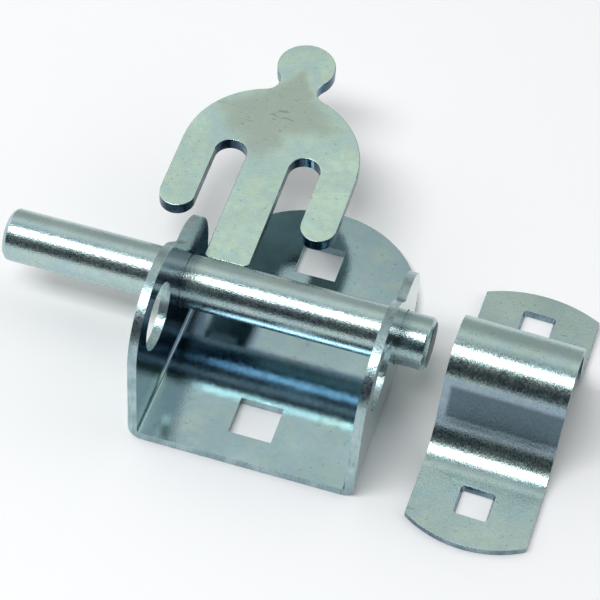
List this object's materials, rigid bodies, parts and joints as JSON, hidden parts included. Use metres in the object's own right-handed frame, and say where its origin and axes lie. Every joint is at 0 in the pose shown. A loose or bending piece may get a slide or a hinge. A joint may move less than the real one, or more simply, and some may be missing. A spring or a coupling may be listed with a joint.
{
  "type": "pad bolt",
  "caption": "Pad bolt: folded bracket with two padlock ears, round sliding bolt, flat slotted handle that folds over an ear, and a bent strap keep.",
  "frame": {"origin": "on the bracket's flat back face, under the bolt's axis and midway between the two ears", "axes": "+X along the bolt towards the keep, +Y to the bracket's round end, +Z away from the door"},
  "size_m": [0.175, 0.1514, 0.0523],
  "materials": {
    "zinc_bracket": "bright zinc plated sheet",
    "zinc_keep": "bright zinc plated sheet",
    "zinc_bolt": "bright zinc plated bar",
    "zinc_handle": "zinc plated plate, satin",
    "zinc_weld": "zinc plated weld bead"
  },
  "bodies": {
    "bracket": {"bracket": "zinc_bracket", "keep": "zinc_keep"},
    "bolt": {"bolt_rod": "zinc_bolt"},
    "handle": {"handle": "zinc_handle", "handle_weld": "zinc_weld"}
  },
  "joints": [
    {"name": "bolt_slide", "type": "slide", "parent": "bracket", "child": "bolt", "axis": [1, 0, 0], "range_m": [0, 0.0428]},
    {"name": "handle_turn", "type": "hinge", "parent": "bolt", "child": "handle", "pos_m": [-0.0222, 0, 0.021], "axis": [1, 0, 0], "range_deg": [-15, 185]}
  ]
}
